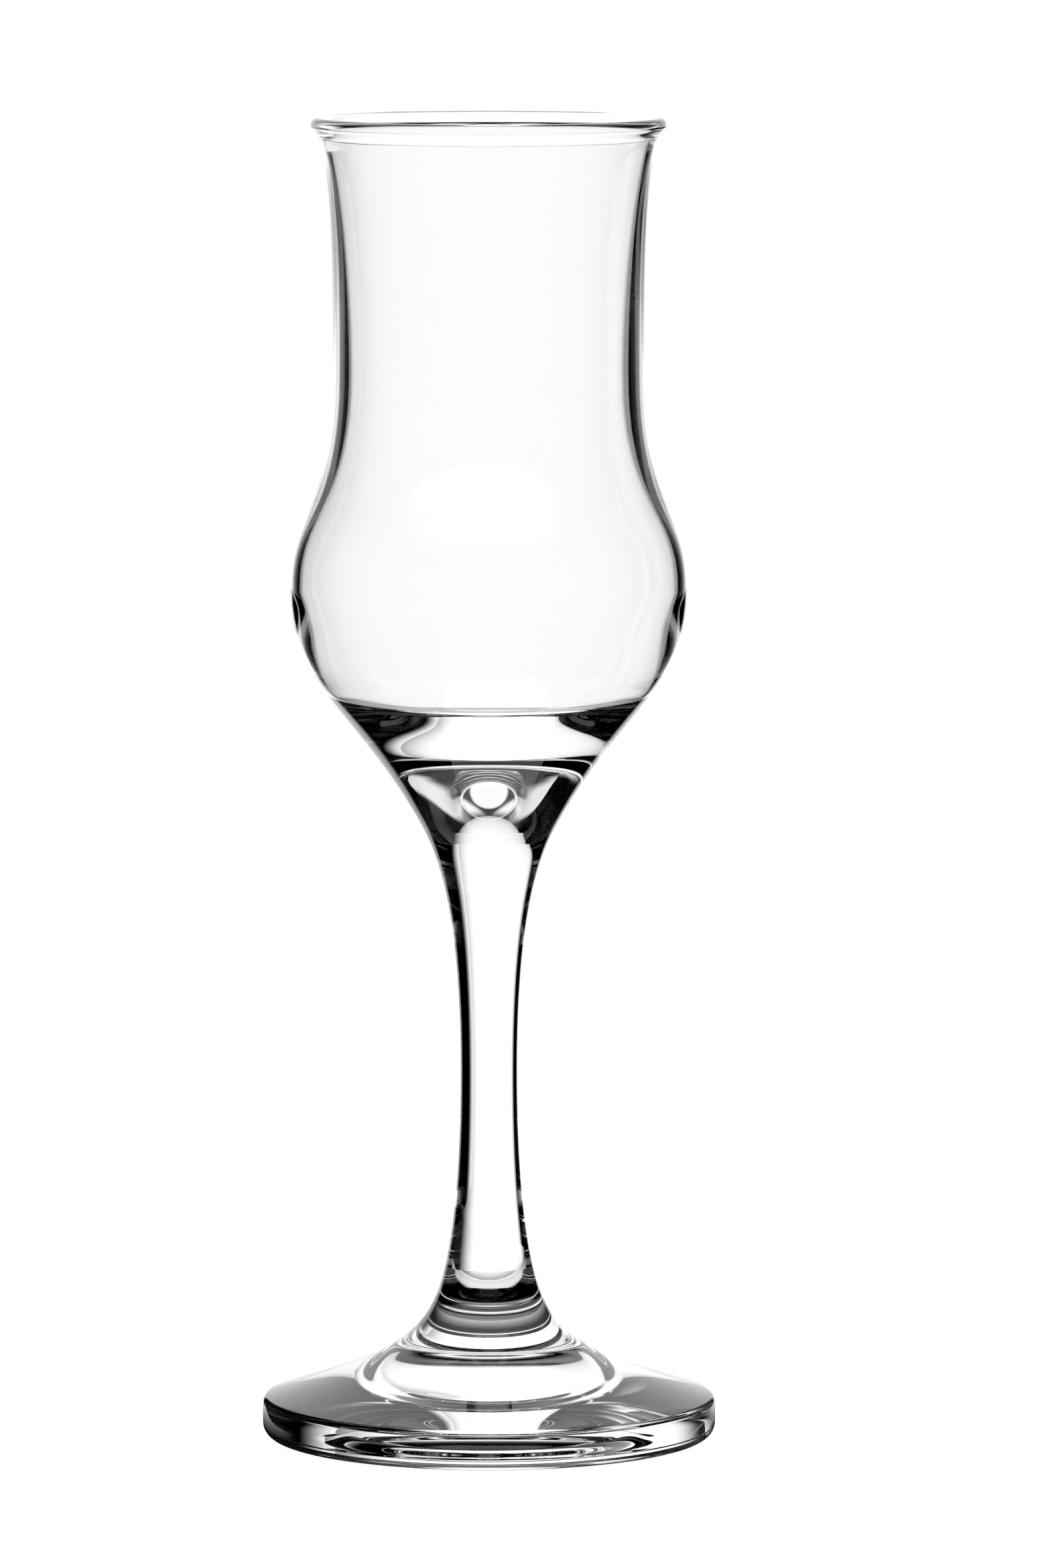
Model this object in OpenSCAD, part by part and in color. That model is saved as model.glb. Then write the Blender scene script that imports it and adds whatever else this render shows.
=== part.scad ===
// Grappa glass: a tulip bowl on a drawn stem and a flared foot.
// Three pieces of clear glass, fused end to end on the vertical axis.
// Millimetres, +Z up, origin at the centre of the foot's underside.

/* [Foot] */
// Diameter of the foot
foot_d = 58.4; // [50:0.2:66]
// Height of the foot piece, up to its seam with the stem
foot_h = 20; // [16:0.5:26]
// Height of the foot's outer edge
foot_edge_h = 5.3; // [4:0.1:6.5]
// Rounding of the edge where it meets the table
foot_edge_round = 1.8; // [0.6:0.1:2.2]
// Rounding between the edge and the sloping top
foot_lip_round = 0.9; // [0.2:0.1:1.2]
// Rise of the sloping top at the edge, in degrees
foot_slope = 19; // [12:0.5:22]
// How far the slope runs on before it turns up
foot_slope_run = 13; // [8:0.5:15]
// How far the flare keeps the stem's direction before it spreads
foot_flare_run = 9.2; // [5:0.2:10]
// Width of the flat ring that the glass stands on
rest_ring_w = 12.4; // [8:0.1:14]
// Width of the rounded step that leads from the ring into the hollow
hollow_step_w = 4; // [2:0.1:5]
// Height of that step
hollow_step_h = 0.9; // [0.4:0.05:1.4]
// Further rise of the hollow from the step to its middle
hollow_dome = 0.5; // [0.2:0.05:1]

/* [Stem] */
// Length of the stem between its two seams
stem_len = 59; // [45:0.5:75]
// Diameter at the thinnest place
stem_d = 7.3; // [6:0.1:9]
// Height of the thinnest place above the lower seam
stem_waist_h = 27.5; // [22:0.5:32]
// Diameter of the seam with the foot
foot_seam_d = 12.4; // [10:0.2:15]
// Lean of the stem's side at the foot seam, in degrees
foot_seam_lean = 16.5; // [10:0.5:22]
// How far the lower side keeps that lean
stem_low_run = 5.5; // [3:0.5:8]
// How far the lower side runs straight below the thinnest place
stem_low_straight = 13; // [8:0.5:16]
// How far the upper side runs straight above the thinnest place
stem_top_straight = 20; // [12:0.5:22]
// How far the upper side keeps the lean of the bowl seam
stem_top_run = 4.5; // [3:0.5:7]

/* [Bowl] */
// Height of the bowl piece, from its seam to the rim
bowl_h = 91; // [80:0.5:105]
// Diameter of the seam with the stem
bowl_seam_d = 17.1; // [14:0.1:20]
// Lean of the bowl's base at the seam, in degrees
bowl_seam_lean = 28.5; // [22:0.5:34]
// How far the base runs straight before it swells
base_run = 17.3; // [12:0.1:20]
// Outer diameter of the belly
belly_d = 50.9; // [46:0.1:58]
// Height of the belly above the bowl seam
belly_h = 30.8; // [28:0.1:34]
// How far the side stays upright below the belly
belly_low = 13; // [8:0.1:15]
// How far the side stays upright above the belly
belly_top = 9.9; // [6:0.1:12]
// Outer diameter of the neck
neck_d = 39.8; // [34:0.1:44]
// Height of the neck's narrowest place above the bowl seam
neck_h = 58; // [54:0.5:64]
// How far the side stays upright below the neck
neck_low = 16.5; // [10:0.5:18]
// How far the side stays upright above the neck
neck_top = 14.3; // [8:0.1:16]
// Outer diameter of the rounded rim
rim_d = 45.5; // [42:0.1:50]
// Radius of the rounded rim
rim_round = 0.95; // [0.7:0.05:1.2]
// Outer diameter just under the rim
lip_d = 43; // [40:0.1:44]
// Depth of that place under the rim
lip_drop = 2.9; // [2.5:0.1:4]
// Lean of the mouth under the rim, in degrees
mouth_lean = 14; // [6:0.5:20]
// How far the mouth keeps that lean
mouth_run = 6; // [3:0.5:8]

/* [Bowl inside] */
// Wall thickness at the neck
neck_wall = 2; // [1:0.05:2.4]
// Wall thickness at the belly
belly_wall = 1.2; // [0.8:0.05:2]
// Wall thickness at the edge of the rounded floor, measured level
floor_wall = 1.6; // [1.2:0.05:2.4]
// Height of the middle of the floor above the bowl seam
floor_h = 13.8; // [13:0.1:14.6]
// Rise of the floor from its middle to its edge
floor_dish = 2.7; // [2:0.1:3.4]
// Rise of the floor at its edge, in degrees
floor_slope = 11; // [8:0.5:16]
// How far the floor keeps that rise inwards
floor_run = 5; // [3:0.1:7]
// How far the floor stays level around its middle
floor_flat = 7.5; // [5:0.1:9]
// How far the side keeps the floor's rise outwards
floor_side_run = 2.2; // [1:0.1:3]
// How far the inner side stays upright below the belly
inner_low = 4; // [3:0.1:6]

/* [Hidden] */
$fn = 96;
curve_steps = 24;
arc_steps = 10;
clear_glass = [0.92, 0.95, 0.95, 0.4];

// Heights of the two seams and the rim above the table
foot_seam_z = foot_h;
bowl_seam_z = foot_h + stem_len;
rim_z = bowl_seam_z + bowl_h;

// Points of the profile, each as [radius, height]
foot_seam = [foot_seam_d / 2, foot_seam_z];
bowl_seam = [bowl_seam_d / 2, bowl_seam_z];
stem_waist = [stem_d / 2, foot_seam_z + stem_waist_h];
belly = [belly_d / 2, bowl_seam_z + belly_h];
neck = [neck_d / 2, bowl_seam_z + neck_h];
lip = [lip_d / 2, rim_z - lip_drop];
rim_centre = [rim_d / 2 - rim_round, rim_z - rim_round];
inner_neck = neck - [neck_wall, 0];
inner_belly = belly - [belly_wall, 0];
floor_z = bowl_seam_z + floor_h;
rest_ring_r = foot_d / 2 - foot_edge_round;
hollow_r = rest_ring_r - rest_ring_w;

// The rim's outer side meets the lip's hollow at this angle below level
rim_hollow_angle = 50;
// Length of the curve handles in the lip's hollow, in rim radii
rim_hollow_run = 0.6;

// Step up or down the axis
function up(length) = [0, length];
// Step along a side that leans away from the axis
function lean(length, angle) = length * [sin(angle), cos(angle)];
// Point on a circle, with the angle counted from level
function on_circle(centre, radius, angle) = centre + radius * [cos(angle), sin(angle)];
// Smooth curve from a to d that leaves a towards b and reaches d from c
function curve(a, b, c, d) =
    [for (i = [0:curve_steps])
        let (t = i / curve_steps, s = 1 - t)
        s * s * s * a + 3 * s * s * t * b + 3 * s * t * t * c + t * t * t * d];
// Round stretch between two angles
function arc(centre, radius, from, to) =
    [for (i = [0:arc_steps]) on_circle(centre, radius, from + (to - from) * i / arc_steps)];
// A stretch without its first point, which the stretch before it already has
function after_first(points) = [for (i = [1:len(points) - 1]) points[i]];

// Outer side of the bowl, from the seam up to the lip
function bowl_base() =
    curve(bowl_seam, bowl_seam + lean(base_run, bowl_seam_lean), belly - up(belly_low), belly);
function bowl_shoulder() = curve(belly, belly + up(belly_top), neck - up(neck_low), neck);
function bowl_mouth() = curve(neck, neck + up(neck_top), lip - lean(mouth_run, mouth_lean), lip);

// Rounded rim: the hollow under the lip, then over the top to the inner side
rim_start = on_circle(rim_centre, rim_round, -rim_hollow_angle);
function rim_hollow() =
    let (run = rim_hollow_run * rim_round)
    curve(lip, lip + lean(run, mouth_lean), rim_start - lean(run, rim_hollow_angle), rim_start);
function rim_top() = concat(
    arc(rim_centre, rim_round, -rim_hollow_angle, 90),
    after_first(arc(rim_centre, rim_round, 90, 180 - mouth_lean)));
rim_end = on_circle(rim_centre, rim_round, 180 - mouth_lean);

// Inner side of the bowl, from the rim down to the floor
function inner_mouth() =
    curve(rim_end, rim_end - lean(mouth_run, mouth_lean), inner_neck + up(neck_top), inner_neck);
function inner_shoulder() =
    curve(inner_neck, inner_neck - up(neck_low), inner_belly + up(belly_top), inner_belly);
floor_edge_z = floor_z + floor_dish;
floor_outer_r = lookup(floor_edge_z, [for (point = bowl_base()) [point[1], point[0]]]);
floor_edge = [floor_outer_r - floor_wall, floor_edge_z];
floor_rise = [cos(floor_slope), sin(floor_slope)];
function inner_side() =
    curve(inner_belly, inner_belly - up(inner_low), floor_edge + floor_side_run * floor_rise, floor_edge);

// Rounded floor, from its edge to its middle
function rounded_floor() =
    curve(floor_edge, floor_edge - floor_run * floor_rise, [floor_flat, floor_z], [0, floor_z]);

module bowl() {
    profile = concat(
        [[0, bowl_seam_z]],
        bowl_base(),
        after_first(bowl_shoulder()),
        after_first(bowl_mouth()),
        after_first(rim_hollow()),
        after_first(rim_top()),
        after_first(inner_mouth()),
        after_first(inner_shoulder()),
        after_first(inner_side()),
        after_first(rounded_floor()));
    color(clear_glass)
        rotate_extrude()
            polygon(profile);
}

module stem() {
    lower_side = curve(
        foot_seam,
        foot_seam + lean(stem_low_run, -foot_seam_lean),
        stem_waist - up(stem_low_straight),
        stem_waist);
    upper_side = curve(
        stem_waist,
        stem_waist + up(stem_top_straight),
        bowl_seam - lean(stem_top_run, bowl_seam_lean),
        bowl_seam);
    profile = concat(
        [[0, foot_seam_z]],
        lower_side,
        after_first(upper_side),
        [[0, bowl_seam_z]]);
    color(clear_glass)
        rotate_extrude()
            polygon(profile);
}

module foot() {
    edge_r = foot_d / 2;
    edge_bottom = [edge_r - foot_edge_round, foot_edge_round];
    edge_top = [edge_r - foot_lip_round, foot_edge_h - foot_lip_round];
    top_start = on_circle(edge_top, foot_lip_round, 90 - foot_slope);
    // The hollow is a shallow dome, and its rounded step leads down to the rest ring
    hollow_edge = [hollow_r, 0];
    hollow_top = [hollow_r - hollow_step_w, hollow_step_h];
    hollow_middle = [0, hollow_step_h + hollow_dome];
    step_run = [hollow_step_w / 2, 0];
    hollow_step = curve(hollow_top, hollow_top + step_run, hollow_edge - step_run, hollow_edge);
    // A parabola: its handles reach a third of the way out, and lie two thirds of the dome higher
    dome_run = [hollow_top[0] / 3, 0];
    dome_handle = hollow_top - dome_run + up(hollow_dome * 2 / 3);
    dome = curve(hollow_middle, hollow_middle + dome_run, dome_handle, hollow_top);
    slope = curve(
        top_start,
        top_start + foot_slope_run * [-cos(foot_slope), sin(foot_slope)],
        foot_seam - lean(foot_flare_run, -foot_seam_lean),
        foot_seam);
    profile = concat(
        dome,
        after_first(hollow_step),
        arc(edge_bottom, foot_edge_round, -90, 0),
        arc(edge_top, foot_lip_round, 0, 90 - foot_slope),
        after_first(slope),
        [[0, foot_seam_z]]);
    color(clear_glass)
        rotate_extrude()
            polygon(profile);
}

bowl();
stem();
foot();
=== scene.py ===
"""Grappa glass: a tulip bowl, a drawn stem and a flared foot, all in clear glass.

The three pieces are turned from the same profile as the solids and stand on a white table in a light tent.
"""

import math

import bpy
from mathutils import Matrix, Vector


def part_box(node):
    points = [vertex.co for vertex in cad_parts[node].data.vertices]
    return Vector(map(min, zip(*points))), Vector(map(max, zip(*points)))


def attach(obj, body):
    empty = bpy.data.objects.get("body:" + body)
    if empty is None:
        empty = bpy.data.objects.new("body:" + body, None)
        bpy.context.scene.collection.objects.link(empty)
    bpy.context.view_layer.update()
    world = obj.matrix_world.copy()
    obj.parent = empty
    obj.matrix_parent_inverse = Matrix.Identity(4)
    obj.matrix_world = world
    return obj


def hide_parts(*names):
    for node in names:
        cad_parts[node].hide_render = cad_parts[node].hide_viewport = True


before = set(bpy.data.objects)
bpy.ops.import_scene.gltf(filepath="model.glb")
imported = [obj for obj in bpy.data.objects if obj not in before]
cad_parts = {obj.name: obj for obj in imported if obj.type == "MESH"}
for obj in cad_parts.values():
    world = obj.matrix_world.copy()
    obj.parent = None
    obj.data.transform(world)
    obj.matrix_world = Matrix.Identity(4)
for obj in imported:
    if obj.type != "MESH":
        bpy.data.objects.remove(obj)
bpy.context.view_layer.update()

# Millimetres to metres
MM = 0.001

# Sizes that the solids already have, in millimetres
foot_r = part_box("foot")[1].x / MM
foot_seam_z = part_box("foot")[1].z / MM
bowl_seam_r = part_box("stem")[1].x / MM
bowl_seam_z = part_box("stem")[1].z / MM
belly_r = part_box("bowl")[1].x / MM
rim_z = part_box("bowl")[1].z / MM

# Foot, in millimetres and degrees
FOOT_EDGE_H = 5.3
FOOT_EDGE_ROUND = 1.8
FOOT_LIP_ROUND = 0.9
FOOT_SLOPE = 19
FOOT_SLOPE_RUN = 13
FOOT_FLARE_RUN = 9.2
REST_RING_W = 12.4
HOLLOW_STEP_W = 4
HOLLOW_STEP_H = 0.9
HOLLOW_DOME = 0.5

# Stem
STEM_R = 3.65
STEM_WAIST_H = 27.5
FOOT_SEAM_R = 6.2
FOOT_SEAM_LEAN = 16.5
STEM_LOW_RUN = 5.5
STEM_LOW_STRAIGHT = 13
STEM_TOP_STRAIGHT = 20
STEM_TOP_RUN = 4.5

# Bowl, outside
BOWL_SEAM_LEAN = 28.5
BASE_RUN = 17.3
BELLY_H = 30.8
BELLY_LOW = 13
BELLY_TOP = 9.9
NECK_R = 19.9
NECK_H = 58
NECK_LOW = 16.5
NECK_TOP = 14.3
RIM_R = 22.75
RIM_ROUND = 0.95
RIM_HOLLOW_ANGLE = 50
RIM_HOLLOW_RUN = 0.57
LIP_R = 21.5
LIP_DROP = 2.9
MOUTH_LEAN = 14
MOUTH_RUN = 6

# Bowl, inside
NECK_WALL = 2
BELLY_WALL = 1.2
INNER_LOW = 4
FLOOR_R = 18.7
FLOOR_H = 13.8
FLOOR_DISH = 2.7
FLOOR_SLOPE = 11
FLOOR_SIDE_RUN = 2.2
FLOOR_RUN = 5
FLOOR_FLAT = 7.5

# Fineness of the turned pieces, the two distances in metres
PROFILE_STEPS = 20
TURN_STEPS = 192
MERGE_DISTANCE = 1e-6
SEAM_TOLERANCE = 1e-5
SMOOTH_ANGLE = math.radians(35)

# Soda-lime glass, and the waves that the fire polish leaves in it, in millimetres
GLASS_IOR = 1.52
WAVE_WIDTH = 14
WAVE_HEIGHT = 0.004

# Camera, as it stood for the photograph
CAMERA_PLACE = Vector((4, -1350, 226.5)) * MM
AIM_HEIGHT = 84.5 * MM
LENS = 242.7
SENSOR = 36

# Stage: the table and the light tent are so large that no edge shows, in metres
TABLE_SIZE = 40
TENT_R = 100

# Thin air that stays under the foot's flat ring, in millimetres
AIR_GAP = 0.05

# Glow of the white board under the glass, where 1 is white
BOARD_GLOW = 0.95

# Shade under the foot: radii in millimetres, and how flat a ray meets it, from 0 straight on to 1 along it
SHADE_INNER = 30
SHADE_OUTER = 46
SHADE_CORE = (11, 15)
SHADE_FLAT = (0.15, 0.35)
SHADE_STEPS = 96

# Panels of the tent: each edge goes from dark to bright, in degrees of turn or rise
BACK_LEFT = (-62, -44)
BACK_RIGHT = (40, 14)
BACK_LOW = (-52, -42)
BACK_HIGH = (64, 58)
BACK_GLOW = 1.14
TENT_FLOOR = (-50, -62)
STRIP_LOW = (40, 46)

# Strips overhead, left and right alike: the planes of their long edges, their softness, and their near end
STRIP_OUTER = (-1, 0.75, 0.6)
STRIP_INNER = (1.1, -1, -0.37)
STRIP_SOFT = 0.045
STRIP_NEAR = (-0.34, -0.21)

# Small panel at the top: its direction, and its edge as a cosine from there
TOP_WAY = Vector((0, -0.06, 1)).normalized()
TOP_EDGE = (0.9835, 0.9885)

# Glow of the cloth between the panels
TENT_DIM = 0.012

# Black cards beside the glass, in millimetres: place to the side, far end, and how far its painted glow
# reaches in there
CARD_H = 162
CARD_NEAR = -500
LEFT_CARD = (-38, 46, 12)
RIGHT_CARD = (55, 125, 40)

# How often light may turn on its way through the glass
LIGHT_BOUNCES = 32
GLOSS_BOUNCES = 16


def up(length):
    """Step up the axis."""
    return Vector((0, length))


def lean(length, angle):
    """Step along a side that leans away from the axis, the angle in degrees from upright."""
    return length * Vector((math.sin(math.radians(angle)), math.cos(math.radians(angle))))


def on_circle(centre, radius, angle):
    """Point on a circle, the angle in degrees from level."""
    return centre + radius * Vector((math.cos(math.radians(angle)), math.sin(math.radians(angle))))


def line(start, end):
    """Straight stretch of a profile."""
    return start, None, None, end


def arc(centre, radius, start, end):
    """Round stretch of a profile, up to a right angle or so."""
    turn = math.radians(end - start)
    reach = 4 / 3 * math.tan(turn / 4) * radius
    first = on_circle(centre, radius, start)
    last = on_circle(centre, radius, end)
    tangents = [Vector((-math.sin(a), math.cos(a))) for a in (math.radians(start), math.radians(end))]
    return first, first + reach * tangents[0], last - reach * tangents[1], last


def turned(name, stretches):
    """Draws a profile as one curve, stretch by stretch, and spins it round the axis into a closed piece."""
    bpy.ops.object.select_all(action="DESELECT")
    bpy.ops.curve.primitive_bezier_curve_add()
    piece = bpy.context.object
    piece.name = name
    piece.data.resolution_u = PROFILE_STEPS
    knots = piece.data.splines[0].bezier_points
    knots.add(len(stretches) + 1 - len(knots))
    places = [stretches[0][0]] + [stretch[3] for stretch in stretches]
    for knot, place in zip(knots, places):
        knot.co = Vector((place.x, 0, place.y)) * MM
        knot.handle_left_type = knot.handle_right_type = "VECTOR"
    for start, end, (_, leaving, arriving, _) in zip(knots[:-1], knots[1:], stretches):
        if leaving is not None:
            start.handle_right_type = end.handle_left_type = "FREE"
            start.handle_right = Vector((leaving.x, 0, leaving.y)) * MM
            end.handle_left = Vector((arriving.x, 0, arriving.y)) * MM
    bpy.ops.object.convert(target="MESH")
    bpy.ops.object.mode_set(mode="EDIT")
    bpy.ops.mesh.select_all(action="SELECT")
    bpy.ops.mesh.spin(steps=TURN_STEPS, angle=math.tau, center=(0, 0, 0), axis=(0, 0, 1))
    bpy.ops.mesh.select_all(action="SELECT")
    bpy.ops.mesh.remove_doubles(threshold=MERGE_DISTANCE)
    bpy.ops.mesh.normals_make_consistent(inside=False)
    bpy.ops.object.mode_set(mode="OBJECT")
    bpy.ops.object.shade_smooth_by_angle(angle=SMOOTH_ANGLE)
    return piece


# Places on the profile, each as (radius, height) in millimetres
foot_seam = Vector((FOOT_SEAM_R, foot_seam_z))
bowl_seam = Vector((bowl_seam_r, bowl_seam_z))
foot_seam_middle = Vector((0, foot_seam_z))
bowl_seam_middle = Vector((0, bowl_seam_z))


def foot_profile():
    ring_r = foot_r - FOOT_EDGE_ROUND
    hollow_r = ring_r - REST_RING_W
    hollow_edge = Vector((hollow_r, 0))
    hollow_top = Vector((hollow_r - HOLLOW_STEP_W, HOLLOW_STEP_H))
    hollow_middle = Vector((0, HOLLOW_STEP_H + HOLLOW_DOME))
    step_run = Vector((HOLLOW_STEP_W / 2, 0))
    # The dome is a parabola: its handles reach a third of the way, the outer one two thirds up the dome
    dome_run = Vector((hollow_top.x / 3, 0))
    dome_handle = hollow_top - dome_run + up(HOLLOW_DOME * 2 / 3)
    edge_low = Vector((ring_r, FOOT_EDGE_ROUND))
    edge_high = Vector((foot_r - FOOT_LIP_ROUND, FOOT_EDGE_H - FOOT_LIP_ROUND))
    slope_start = on_circle(edge_high, FOOT_LIP_ROUND, 90 - FOOT_SLOPE)
    return [
        (hollow_middle, hollow_middle + dome_run, dome_handle, hollow_top),
        (hollow_top, hollow_top + step_run, hollow_edge - step_run, hollow_edge),
        line(hollow_edge, Vector((ring_r, 0))),
        arc(edge_low, FOOT_EDGE_ROUND, -90, 0),
        line(edge_low + Vector((FOOT_EDGE_ROUND, 0)), edge_high + Vector((FOOT_LIP_ROUND, 0))),
        arc(edge_high, FOOT_LIP_ROUND, 0, 90 - FOOT_SLOPE),
        (
            slope_start,
            slope_start + lean(FOOT_SLOPE_RUN, FOOT_SLOPE - 90),
            foot_seam - lean(FOOT_FLARE_RUN, -FOOT_SEAM_LEAN),
            foot_seam,
        ),
        line(foot_seam, foot_seam_middle),
    ]


def stem_profile():
    waist = Vector((STEM_R, foot_seam_z + STEM_WAIST_H))
    return [
        line(foot_seam_middle, foot_seam),
        (
            foot_seam,
            foot_seam + lean(STEM_LOW_RUN, -FOOT_SEAM_LEAN),
            waist - up(STEM_LOW_STRAIGHT),
            waist,
        ),
        (
            waist,
            waist + up(STEM_TOP_STRAIGHT),
            bowl_seam - lean(STEM_TOP_RUN, BOWL_SEAM_LEAN),
            bowl_seam,
        ),
        line(bowl_seam, bowl_seam_middle),
    ]


def bowl_profile():
    belly = Vector((belly_r, bowl_seam_z + BELLY_H))
    neck = Vector((NECK_R, bowl_seam_z + NECK_H))
    lip = Vector((LIP_R, rim_z - LIP_DROP))
    rim = Vector((RIM_R - RIM_ROUND, rim_z - RIM_ROUND))
    rim_start = on_circle(rim, RIM_ROUND, -RIM_HOLLOW_ANGLE)
    rim_end = on_circle(rim, RIM_ROUND, 180 - MOUTH_LEAN)
    inner_neck = neck - Vector((NECK_WALL, 0))
    inner_belly = belly - Vector((BELLY_WALL, 0))
    floor_middle = Vector((0, bowl_seam_z + FLOOR_H))
    floor_edge = Vector((FLOOR_R, floor_middle.y + FLOOR_DISH))
    floor_rise = lean(1, 90 - FLOOR_SLOPE)
    return [
        line(bowl_seam_middle, bowl_seam),
        (bowl_seam, bowl_seam + lean(BASE_RUN, BOWL_SEAM_LEAN), belly - up(BELLY_LOW), belly),
        (belly, belly + up(BELLY_TOP), neck - up(NECK_LOW), neck),
        (neck, neck + up(NECK_TOP), lip - lean(MOUTH_RUN, MOUTH_LEAN), lip),
        (
            lip,
            lip + lean(RIM_HOLLOW_RUN, MOUTH_LEAN),
            rim_start - lean(RIM_HOLLOW_RUN, RIM_HOLLOW_ANGLE),
            rim_start,
        ),
        arc(rim, RIM_ROUND, -RIM_HOLLOW_ANGLE, 0),
        arc(rim, RIM_ROUND, 0, 90),
        arc(rim, RIM_ROUND, 90, 180 - MOUTH_LEAN),
        (rim_end, rim_end - lean(MOUTH_RUN, MOUTH_LEAN), inner_neck + up(NECK_TOP), inner_neck),
        (inner_neck, inner_neck - up(NECK_LOW), inner_belly + up(BELLY_TOP), inner_belly),
        (inner_belly, inner_belly - up(INNER_LOW), floor_edge + FLOOR_SIDE_RUN * floor_rise, floor_edge),
        (
            floor_edge,
            floor_edge - FLOOR_RUN * floor_rise,
            floor_middle + Vector((FLOOR_FLAT, 0)),
            floor_middle,
        ),
    ]


def linear(hex_colour):
    """An sRGB colour such as "#ffffff" as linear red, green, blue and alpha."""
    shares = [int(hex_colour[i : i + 2], 16) / 255 for i in (1, 3, 5)]
    return [s / 12.92 if s <= 0.04045 else ((s + 0.055) / 1.055) ** 2.4 for s in shares] + [1]


def add_node(tree, kind, inputs, **settings):
    """Adds a node, sets it up, and gives its inputs their values or links."""
    node = tree.nodes.new(kind)
    for name, value in settings.items():
        setattr(node, name, value)
    for socket, value in inputs.items():
        if isinstance(value, bpy.types.NodeSocket):
            tree.links.new(value, node.inputs[socket])
        else:
            node.inputs[socket].default_value = value
    return node


def new_material(name):
    material = bpy.data.materials.new(name)
    material.use_nodes = True
    material.node_tree.nodes.clear()
    return material


def clear_glass():
    """Soda-lime glass, pressed and fire-polished: colourless and smooth, so only bent light shows its shape.

    The flame leaves faint waves in the skin, so that no edge of the light runs quite true through it.
    """
    material = new_material("clear_soda_lime_glass")
    tree = material.node_tree
    place = add_node(tree, "ShaderNodeTexCoord", {}).outputs["Object"]
    waves = add_node(
        tree,
        "ShaderNodeTexNoise",
        {"Vector": place, "Scale": 1 / (WAVE_WIDTH * MM), "Detail": 0.0},
    )
    polish = add_node(
        tree,
        "ShaderNodeBump",
        {"Height": waves.outputs["Fac"], "Strength": 1.0, "Distance": WAVE_HEIGHT * MM},
    )
    glass = add_node(
        tree,
        "ShaderNodeBsdfPrincipled",
        {
            "Base Color": linear("#ffffff"),
            "Roughness": 0.0,
            "IOR": GLASS_IOR,
            "Transmission Weight": 1.0,
            "Normal": polish.outputs["Normal"],
        },
    )
    add_node(tree, "ShaderNodeOutputMaterial", {"Surface": glass.outputs["BSDF"]})
    return material


def fused_seam():
    """Two pieces melted into one: the light goes straight on from glass to glass."""
    material = new_material("fused_glass_seam")
    tree = material.node_tree
    clear = add_node(tree, "ShaderNodeBsdfTransparent", {})
    add_node(tree, "ShaderNodeOutputMaterial", {"Surface": clear.outputs["BSDF"]})
    return material


glass_material = clear_glass()
seam_material = fused_seam()


def finish_piece(piece, node, seams):
    """Gives a piece its glass, clears its fused faces, and puts it in its node's place."""
    piece.data.materials.append(glass_material)
    piece.data.materials.append(seam_material)
    for face in piece.data.polygons:
        heights = [piece.data.vertices[i].co.z for i in face.vertices]
        if any(max(abs(h - seam * MM) for h in heights) < SEAM_TOLERANCE for seam in seams):
            face.material_index = 1
    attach(piece, "root")
    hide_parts(node)


finish_piece(turned("glass_foot", foot_profile()), "foot", [foot_seam_z])
finish_piece(turned("glass_stem", stem_profile()), "stem", [foot_seam_z, bowl_seam_z])
finish_piece(turned("glass_bowl", bowl_profile()), "bowl", [bowl_seam_z])

scene = bpy.context.scene
camera = bpy.data.objects.new("camera", bpy.data.cameras.new("camera"))
scene.collection.objects.link(camera)
scene.camera = camera
camera.data.lens = LENS
camera.data.sensor_width = SENSOR
camera.location = CAMERA_PLACE
tilt = math.atan2(CAMERA_PLACE.z - AIM_HEIGHT, -CAMERA_PLACE.y)
camera.rotation_euler = (math.pi / 2 - tilt, 0, 0)


def fade(tree, value, dark, bright):
    """Soft step from 0 at one value to 1 at another."""
    step = add_node(
        tree,
        "ShaderNodeMapRange",
        {"Value": value, "From Min": dark, "From Max": bright},
        interpolation_type="SMOOTHSTEP",
    )
    return step.outputs["Result"]


def product(tree, *factors):
    """Several values multiplied together."""
    result = factors[0]
    for factor in factors[1:]:
        result = add_node(tree, "ShaderNodeMath", {0: result, 1: factor}, operation="MULTIPLY").outputs[0]
    return result


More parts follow.
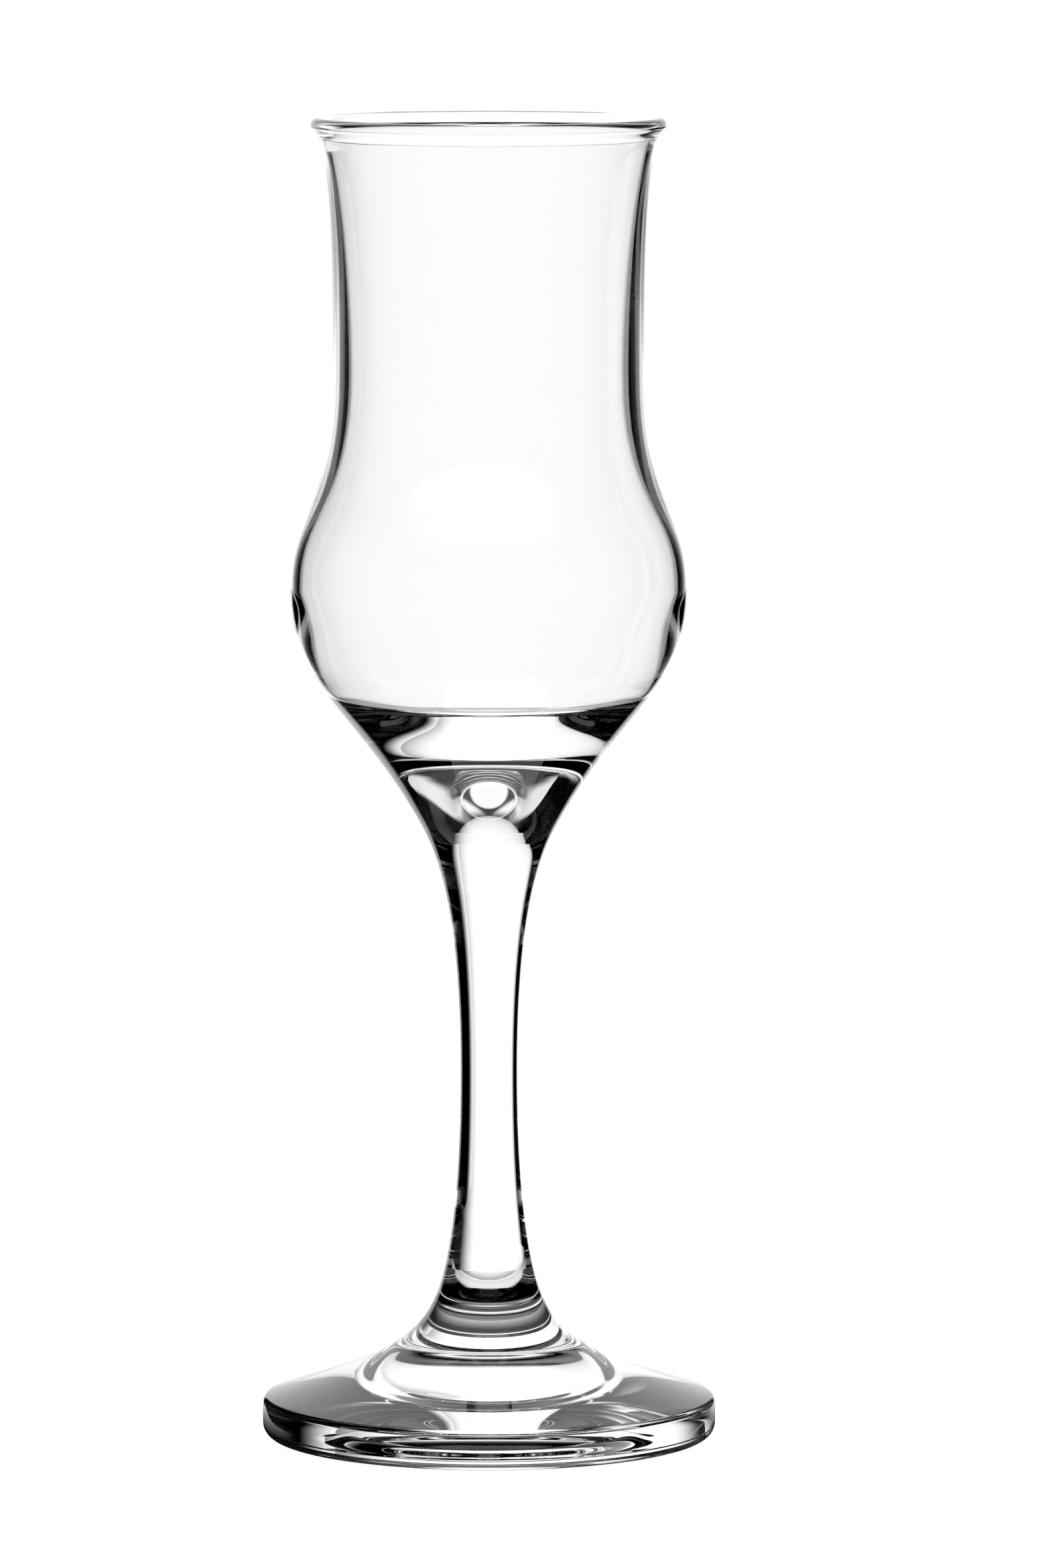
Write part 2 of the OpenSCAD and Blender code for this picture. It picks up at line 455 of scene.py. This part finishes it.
def light_tent():
    """White cloth lit from behind: a panel at the back, strips overhead, a small one on top, and the floor."""
    material = new_material("lit_tent_cloth")
    material.cycles.emission_sampling = "NONE"
    tree = material.node_tree
    place = add_node(tree, "ShaderNodeTexCoord", {}).outputs["Object"]
    way = add_node(tree, "ShaderNodeVectorMath", {0: place}, operation="NORMALIZE").outputs["Vector"]
    axes = add_node(tree, "ShaderNodeSeparateXYZ", {0: way}).outputs
    turn = add_node(tree, "ShaderNodeMath", {0: axes["X"], 1: axes["Y"]}, operation="ARCTAN2").outputs[0]
    rise = add_node(tree, "ShaderNodeMath", {0: axes["Z"]}, operation="ARCSINE").outputs[0]
    # The strips are alike on both sides, so they are drawn on the right and mirrored
    side = add_node(tree, "ShaderNodeMath", {0: axes["X"]}, operation="ABSOLUTE").outputs[0]
    mirrored = add_node(tree, "ShaderNodeCombineXYZ", {0: side, 1: axes["Y"], 2: axes["Z"]}).outputs[0]

    def edge(angle, ends):
        return fade(tree, angle, math.radians(ends[0]), math.radians(ends[1]))

    def along(direction, axis):
        dot = add_node(tree, "ShaderNodeVectorMath", {0: direction, 1: axis}, operation="DOT_PRODUCT")
        return dot.outputs["Value"]

    back = [
        edge(turn, BACK_LEFT),
        edge(turn, BACK_RIGHT),
        edge(rise, BACK_LOW),
        edge(rise, BACK_HIGH),
        BACK_GLOW,
    ]
    strips = [
        fade(tree, along(mirrored, STRIP_OUTER), -STRIP_SOFT, STRIP_SOFT),
        fade(tree, along(mirrored, STRIP_INNER), -STRIP_SOFT, STRIP_SOFT),
        edge(rise, STRIP_LOW),
        fade(tree, axes["Y"], *STRIP_NEAR),
    ]
    top = fade(tree, along(way, TOP_WAY), *TOP_EDGE)
    panels = [product(tree, *back), product(tree, *strips), top, edge(rise, TENT_FLOOR), TENT_DIM]
    level = panels[0]
    for panel in panels[1:]:
        level = add_node(tree, "ShaderNodeMath", {0: level, 1: panel}, operation="ADD").outputs[0]
    glow = add_node(tree, "ShaderNodeEmission", {"Strength": level})
    add_node(tree, "ShaderNodeOutputMaterial", {"Surface": glow.outputs["Emission"]})
    return material


def white_table():
    """White board, evenly lit up to its edge, with a faint shade where the foot stands."""
    material = new_material("white_board")
    material.cycles.emission_sampling = "NONE"
    tree = material.node_tree
    glow = add_node(tree, "ShaderNodeEmission", {"Strength": BOARD_GLOW})
    board = add_node(tree, "ShaderNodeBsdfDiffuse", {"Color": linear("#595959")})
    surface = add_node(tree, "ShaderNodeAddShader", {0: glow.outputs[0], 1: board.outputs[0]})
    add_node(tree, "ShaderNodeOutputMaterial", {"Surface": surface.outputs[0]})
    return material


# The camera sees the white board, and what the glass bends and mirrors is the tent and its cards
bpy.ops.object.select_all(action="DESELECT")
bpy.ops.mesh.primitive_plane_add(size=TABLE_SIZE)
table = bpy.context.object
table.name = "table"
table.location.z = -AIR_GAP * MM
table.data.materials.append(white_table())
table.visible_transmission = False
table.visible_glossy = False


def foot_shade():
    """Painted shade and painted reflection under the foot: flat rays meet black, steep ones pass through.

    The black stands in for the foot's shadow on the board and the room's dark in the board's gloss.
    Its middle, under the stem, stays dark for all of them.
    """
    material = new_material("shade_under_foot")
    tree = material.node_tree
    place = add_node(tree, "ShaderNodeTexCoord", {}).outputs["Object"]
    reach = add_node(tree, "ShaderNodeVectorMath", {0: place}, operation="LENGTH").outputs["Value"]
    dark = add_node(tree, "ShaderNodeBsdfDiffuse", {"Color": linear("#000000")})
    clear = add_node(tree, "ShaderNodeBsdfTransparent", {})
    facing = add_node(tree, "ShaderNodeLayerWeight", {}).outputs["Facing"]
    middle = fade(tree, reach, SHADE_CORE[1] * MM, SHADE_CORE[0] * MM)
    flat = fade(tree, facing, *SHADE_FLAT)
    dense = add_node(tree, "ShaderNodeMath", {0: middle, 1: flat}, operation="MAXIMUM").outputs[0]
    cover = product(tree, fade(tree, reach, SHADE_OUTER * MM, SHADE_INNER * MM), dense)
    surface = add_node(tree, "ShaderNodeMixShader", {0: cover, 1: clear.outputs[0], 2: dark.outputs[0]})
    add_node(tree, "ShaderNodeOutputMaterial", {"Surface": surface.outputs[0]})
    return material


# Black disc under the foot, seen only by bent and mirrored rays: painted shade and painted reflection
bpy.ops.object.select_all(action="DESELECT")
bpy.ops.mesh.primitive_circle_add(vertices=SHADE_STEPS, radius=SHADE_OUTER * MM, fill_type="NGON")
shade = bpy.context.object
shade.name = "foot_shade"
shade.location.z = -AIR_GAP * MM
shade.data.materials.append(foot_shade())
shade.visible_camera = False
shade.visible_diffuse = False
shade.visible_shadow = False

# The tent and its cards turn with the camera, and stay upright around the glass
light_stand = bpy.data.objects.new("light_stand", None)
scene.collection.objects.link(light_stand)
turning = light_stand.constraints.new("LOCKED_TRACK")
turning.target = camera
turning.track_axis = "TRACK_NEGATIVE_Y"
turning.lock_axis = "LOCK_Z"

bpy.ops.object.select_all(action="DESELECT")
bpy.ops.mesh.primitive_uv_sphere_add(radius=TENT_R)
tent = bpy.context.object
tent.name = "tent"
tent.parent = light_stand
tent.data.materials.append(light_tent())
tent.visible_camera = False
tent.visible_diffuse = False
tent.visible_shadow = False


def black_card(soft):
    """Black card with a painted glow towards its far edge, to draw the dark outlines of the glass softly."""
    material = new_material("black_card")
    material.cycles.emission_sampling = "NONE"
    tree = material.node_tree
    place = add_node(tree, "ShaderNodeTexCoord", {}).outputs["Object"]
    axes = add_node(tree, "ShaderNodeSeparateXYZ", {0: place}).outputs
    edge_glow = add_node(tree, "ShaderNodeEmission", {"Strength": fade(tree, axes["Y"], -soft * MM, 0)})
    add_node(tree, "ShaderNodeOutputMaterial", {"Surface": edge_glow.outputs["Emission"]})
    return material


def stand_card(name, side, far, soft):
    """Stands a card beside the glass, from near the camera to a little behind the glass."""
    bpy.ops.object.select_all(action="DESELECT")
    bpy.ops.mesh.primitive_plane_add(size=1)
    card = bpy.context.object
    card.name = name
    for corner in card.data.vertices:
        corner.co = Vector((corner.co.x * CARD_H, (corner.co.y - 0.5) * (far - CARD_NEAR), 0)) * MM
    card.data.materials.append(black_card(soft))
    card.parent = light_stand
    card.rotation_euler = (0, math.pi / 2, 0)
    card.location = Vector((side, far, CARD_H / 2)) * MM
    card.visible_camera = False
    card.visible_diffuse = False
    card.visible_shadow = False


stand_card("left_card", *LEFT_CARD)
stand_card("right_card", *RIGHT_CARD)

world = bpy.data.worlds.new("studio")
scene.world = world
world.use_nodes = True
world.node_tree.nodes["Background"].inputs["Color"].default_value = linear("#ffffff")

scene.view_settings.view_transform = "Standard"
scene.cycles.max_bounces = LIGHT_BOUNCES
scene.cycles.transmission_bounces = LIGHT_BOUNCES
scene.cycles.glossy_bounces = GLOSS_BOUNCES
scene.cycles.transparent_max_bounces = LIGHT_BOUNCES
